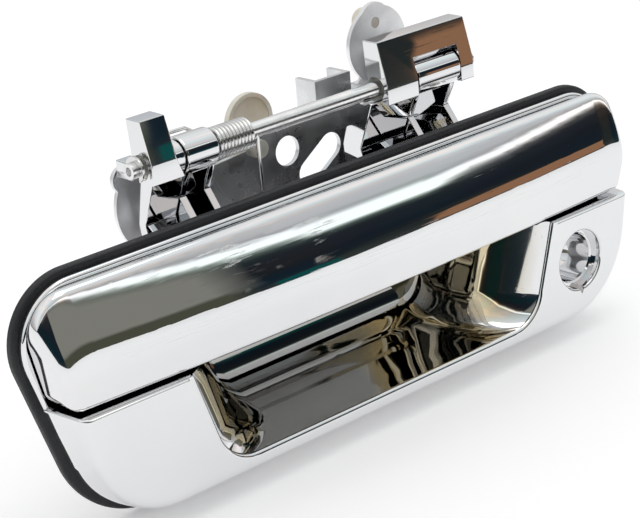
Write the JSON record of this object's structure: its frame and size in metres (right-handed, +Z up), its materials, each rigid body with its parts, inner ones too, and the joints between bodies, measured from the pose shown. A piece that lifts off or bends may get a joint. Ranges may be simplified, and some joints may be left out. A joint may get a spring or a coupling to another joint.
{
  "type": "lift-up tailgate handle",
  "caption": "Chromed lift-up tailgate handle: bezel with finger pocket and lock bore, hinged paddle on a sprung rod, steel bracket and cranks for latch rods.",
  "frame": {"origin": "midway between the two mounting studs, on the rear face of the gasket that seats on the tailgate skin", "axes": "+X along the handle, to the right seen from outside; +Y along the studs, into the tailgate; +Z up"},
  "size_m": [0.2288, 0.058, 0.1086],
  "materials": {
    "chrome_plate": "mirror chrome plate with fine handling scuffs",
    "gasket_rubber": "matt moulded rubber",
    "polished_steel": "bright plated rod",
    "spring_steel": "drawn spring wire, bright",
    "nylon": "natural cream nylon",
    "galvanised_sheet": "galvanised sheet, soft satin",
    "zinc_steel": "bright zinc plate",
    "plated_sheet": "bright plated sheet"
  },
  "bodies": {
    "housing": {"bezel": "chrome_plate", "gasket": "gasket_rubber", "bump_stops": "gasket_rubber", "pivot_rod": "polished_steel", "rod_clips": "spring_steel", "torsion_spring": "spring_steel", "carrier_bracket": "galvanised_sheet", "bracket_screws": "zinc_steel", "mounting_studs": "zinc_steel", "crank_rivets": "zinc_steel", "crank_washers": "zinc_steel", "harness_clip": "nylon", "lock_lever_rivet": "zinc_steel", "lock_retainer": "spring_steel"},
    "paddle": {"paddle": "chrome_plate", "arm_bushes": "nylon"},
    "left_crank": {"left_crank": "plated_sheet", "left_rod_holder": "nylon"},
    "right_crank": {"right_crank": "plated_sheet", "right_rod_holder": "nylon"},
    "lock_lever": {"lock_lever": "plated_sheet"}
  },
  "joints": [
    {"name": "paddle_lift", "type": "hinge", "parent": "housing", "child": "paddle", "pos_m": [0, 0.015, 0.0483], "axis": [-1, 0, 0], "range_deg": [0, 22], "stiffness_Nm_per_rad": 0.6, "springref_deg": -17.19, "deforming": ["torsion_spring"]},
    {"name": "left_crank_turn", "type": "hinge", "parent": "housing", "child": "left_crank", "pos_m": [-0.034, 0.0318, 0.0315], "axis": [0, -1, 0], "range_deg": [0, 19]},
    {"name": "right_crank_turn", "type": "hinge", "parent": "housing", "child": "right_crank", "pos_m": [0.056, 0.0318, 0.05], "axis": [0, -1, 0], "range_deg": [0, 20]},
    {"name": "lock_lever_turn", "type": "hinge", "parent": "housing", "child": "lock_lever", "pos_m": [0.069, 0.007, -0.002], "axis": [0, 1, 0], "range_deg": [0, 20]}
  ],
  "couplings": [
    {"joint": "left_crank_turn", "follows": "paddle_lift", "ratio": 0.85},
    {"joint": "right_crank_turn", "follows": "paddle_lift", "ratio": 0.9}
  ]
}
